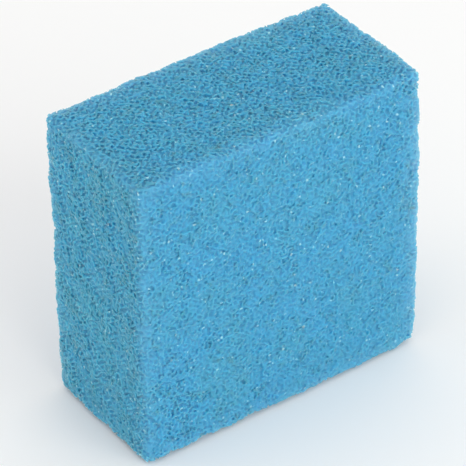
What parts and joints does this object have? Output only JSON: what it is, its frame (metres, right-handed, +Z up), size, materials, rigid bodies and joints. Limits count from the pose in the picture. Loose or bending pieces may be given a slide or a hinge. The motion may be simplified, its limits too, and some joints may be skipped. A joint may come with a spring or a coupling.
{
  "type": "aquarium filter sponge block",
  "caption": "Square block of blue open-cell filter foam with softly eased edges, a plain cut pad for an aquarium or pond filter.",
  "frame": {"origin": "middle of the narrow face that the block stands on", "axes": "+X across the width of the broad face, +Y through the thickness (the way the water flows), +Z up"},
  "size_m": [0.1, 0.0484, 0.1],
  "materials": {
    "filter_foam": "soft matt open-cell polyurethane foam, sky blue, about 15 cells to the inch"
  },
  "bodies": {
    "root": {"foam_block": "filter_foam"}
  },
  "joints": []
}
